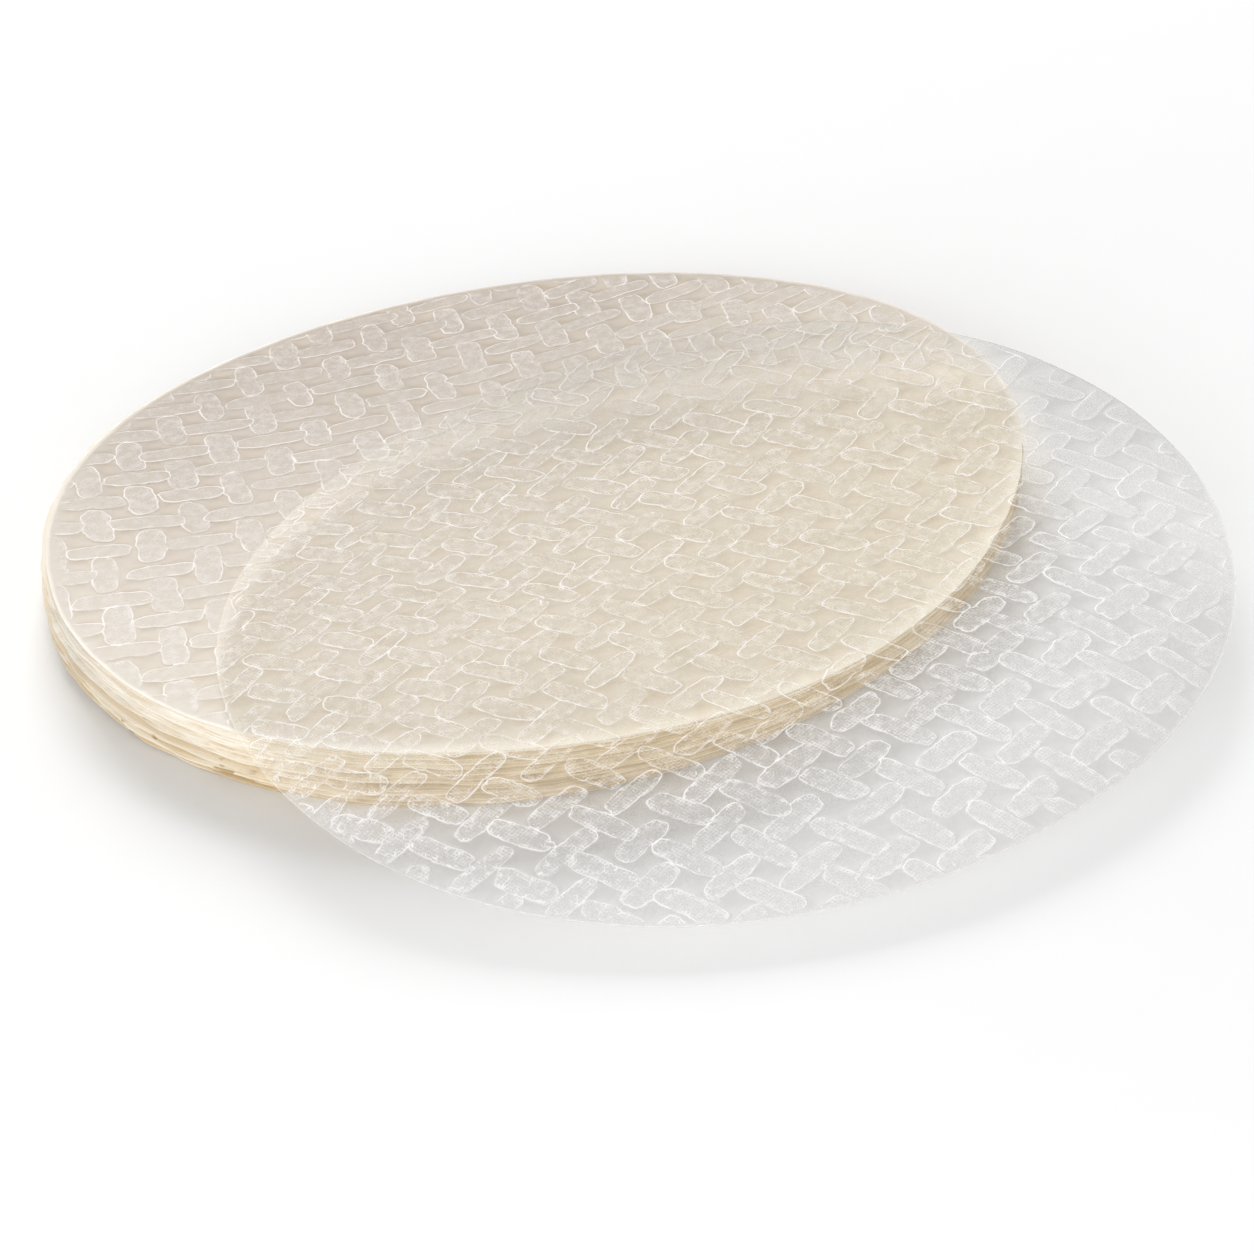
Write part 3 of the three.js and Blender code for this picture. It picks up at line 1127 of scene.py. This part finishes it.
def floor_paint():
    material, tree, shader, vector = start_material("floor_paint", FLOOR_SHEEN)
    speck = noise(tree, vector, 60.0, 2.0, 0.5)
    colour = blend_colour(tree, speck, (0.895, 0.895, 0.895), (0.905, 0.905, 0.905))
    feed(tree, shader, Base_Color=colour, Roughness=0.9)
    return material


# ---- The wrappers ----

LOOSE_MAT = Mat(
    seed=11, start=(28.7, -14.6), along=(8.50, -7.06), across=(7.18, 7.77),
    along_bend=(0.0145, -0.107), twist=(0.0235, -0.057), across_bend=(-0.061, 0.023),
    across_width=(0.215, 0.27), frost={ALONG: (0.8, 1.0), ACROSS: (0.75, 1.0)},
)
TOP_MAT = Mat(
    seed=23, start=(-77.4, 18.7), along=(11.01, 0.34), across=(-1.33, 10.78),
    along_bend=(-0.058, 0.184), twist=(-0.053, -0.007), across_bend=(-0.028, -0.023),
    across_width=(0.235, 0.295), frost={ALONG: (0.45, 0.7), ACROSS: (0.7, 1.0)},
)
SECOND_MAT = Mat(
    seed=37, start=(3.0, 4.0), along=(9.4, 5.4), across=(-5.5, 9.2),
    along_bend=(0.02, 0.05), twist=(0.0, 0.02), across_bend=(0.03, -0.02),
    across_width=(0.22, 0.28), frost={ALONG: (0.4, 0.8), ACROSS: (0.4, 0.8)},
)


def pile_name(index):
    return f"wrapper_{index + 1:02d}"


def add(thing, node_name):
    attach(thing, "root")
    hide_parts(node_name)


def loose_rim(bearing):
    nibble = LOOSE_RIM_NIBBLE * round_noise(bearing, LOOSE_RIM_SEED, (7, 12, 19))
    return SHEET_RADIUS + OUT_OF_ROUND * np.cos(2 * bearing) + nibble


def build_wrappers():
    film = see_through_paper()
    top = top_paper()
    inner = pile_paper()
    for index in range(PILE_SHEETS - 2):
        name = pile_name(index)
        add(plain_sheet(f"{name}_paper", inner, index), name)
    for index, paper, mat in (
        (PILE_SHEETS - 2, inner, SECOND_MAT), (PILE_SHEETS - 1, top, TOP_MAT),
    ):
        name = pile_name(index)
        sheet = imprinted_sheet(
            f"{name}_paper", paper, *pile_sheet_outline(index), pile_thickness,
            pile_underside(index), mat,
            outline_points=40, rim_fade=3.0, rim_line=0.0, pressed=0.6,
        )
        add(sheet, name)
    sheet = imprinted_sheet(
        "loose_wrapper_film", film, LOOSE_CENTRE, loose_rim, even_thickness, loose_underside,
        LOOSE_MAT, outline_points=52, rim_fade=1.8, rim_line=0.6, ripples=0.08,
        clearness=LOOSE_CLEARNESS,
    )
    add(sheet, "loose_wrapper")


# ---- Floor, light and camera ----

FLOOR_HALF = 3.0 / MM

# Strength of the even light from all round.
ROOM_LIGHT = 0.43

# The camera, with its focal length in the frame's pixels.
FRAME_PIXELS = 1254
FOCAL_PIXELS = 6793.5
SENSOR = 36.0
CAMERA_PITCH = 31.2
CAMERA_ROLL = -7.83
CAMERA_DISTANCE = 1.5
CAMERA_TARGET = (0.01898, -0.04325, 0.0)


def build_floor():
    half = FLOOR_HALF
    corners = np.array([(-half, -half, 0), (half, -half, 0), (half, half, 0), (-half, half, 0)])
    mesh_object("floor", corners, np.array([(0, 1, 2), (0, 2, 3)]), floor_paint())


def standing(across, up, back, place):
    """A lamp's or camera's place and turn, from its own axes."""
    turn = Matrix(np.column_stack([across, up, back]).tolist()).to_4x4()
    return Matrix.Translation(place) @ turn


def softbox(name, place, towards, size, power):
    """A square lamp that faces a point."""
    light = bpy.data.lights.new(name, "AREA")
    light.shape = "SQUARE"
    light.size = size
    light.energy = power
    lamp = bpy.data.objects.new(name, light)
    back = np.array(place) - np.array(towards)
    side = (0.0, 1.0, 0.0) if abs(back[1]) < 0.9 * np.linalg.norm(back) else (1.0, 0.0, 0.0)
    across = np.cross(side, back)
    across = across / np.linalg.norm(across)
    back = back / np.linalg.norm(back)
    lamp.matrix_world = standing(across, np.cross(back, across), back, place)
    bpy.context.scene.collection.objects.link(lamp)


def build_light():
    world = bpy.data.worlds.new("studio")
    world.use_nodes = True
    background = world.node_tree.nodes["Background"]
    background.inputs["Color"].default_value = (1.0, 1.0, 1.0, 1.0)
    background.inputs["Strength"].default_value = ROOM_LIGHT
    bpy.context.scene.world = world
    softbox("back_light", (-0.16, 2.38, 1.6), (0.0, 0.0, 0.0), 1.6, 77.0)
    softbox("front_fill", (-0.3, -1.2, 0.42), (0.0, -0.05, 0.0), 0.7, 10.6)
    view = bpy.context.scene.view_settings
    view.view_transform = "Standard"
    view.look = "None"


def build_camera():
    pitch = math.radians(CAMERA_PITCH)
    roll = math.radians(CAMERA_ROLL)
    forward = np.array([0.0, math.cos(pitch), -math.sin(pitch)])
    right = np.array([1.0, 0.0, 0.0])
    up = np.cross(right, forward)
    across = math.cos(roll) * right + math.sin(roll) * up
    upright = math.cos(roll) * up - math.sin(roll) * right
    camera = bpy.data.cameras.new("camera")
    camera.sensor_width = SENSOR
    camera.lens = FOCAL_PIXELS / FRAME_PIXELS * SENSOR
    camera.clip_start = 0.05
    camera.clip_end = 30.0
    holder = bpy.data.objects.new("camera", camera)
    place = np.array(CAMERA_TARGET) - CAMERA_DISTANCE * forward
    holder.matrix_world = standing(across, upright, -forward, place)
    bpy.context.scene.collection.objects.link(holder)
    bpy.context.scene.camera = holder


build_wrappers()
build_floor()
build_light()
build_camera()
